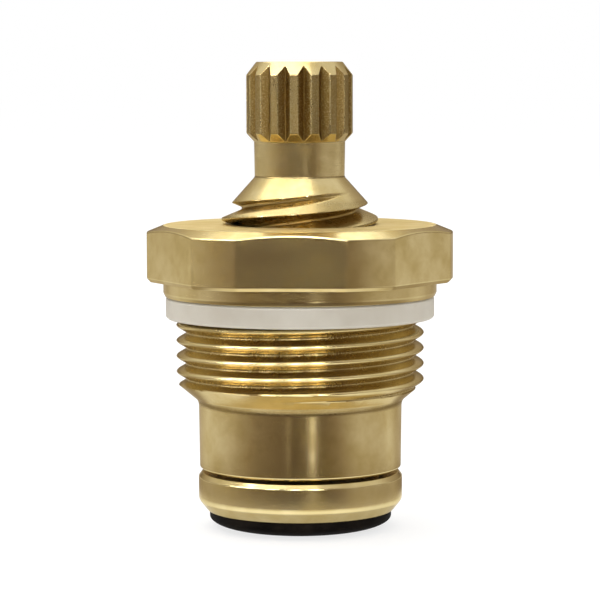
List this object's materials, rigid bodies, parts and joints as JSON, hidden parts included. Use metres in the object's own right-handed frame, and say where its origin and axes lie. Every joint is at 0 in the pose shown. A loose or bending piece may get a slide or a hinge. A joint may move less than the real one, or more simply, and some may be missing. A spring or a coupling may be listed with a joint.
{
  "type": "basin tap stem",
  "caption": "Screw-down basin tap stem: splined spindle on a fast thread, hexagonal bonnet with body thread and gasket, swivelling washer holder and rubber seat washer.",
  "frame": {"origin": "on the stem's axis at the lower face of the seat washer, where the stem stands", "axes": "+Z along the stem's axis from the seat washer to the splined handle end; Y is square to two of the bonnet's wrench flats, and X runs through two of its corners"},
  "size_m": [0.0314, 0.0294, 0.0477],
  "materials": {
    "brass": "satin, machined",
    "nylon": "matt, slightly translucent white nylon",
    "rubber": "matt black"
  },
  "bodies": {
    "bonnet": {"bonnet": "brass", "flange_gasket": "nylon"},
    "washer_carrier": {"washer_holder": "brass", "seat_washer": "rubber"},
    "spindle": {"spindle": "brass", "upper_o_ring": "rubber", "lower_o_ring": "rubber", "washer_screw": "brass"}
  },
  "joints": [
    {"name": "washer_lift", "type": "slide", "parent": "bonnet", "child": "washer_carrier", "axis": [0, 0, 1], "range_m": [-0.00337, 0]},
    {"name": "spindle_turn", "type": "hinge", "parent": "washer_carrier", "child": "spindle", "pos_m": [0, 0, 0.006], "axis": [0, 0, 1], "range_deg": [-270, 0]}
  ],
  "couplings": [
    {"joint": "spindle_turn", "follows": "washer_lift", "rad_per_m": 1396.3}
  ]
}
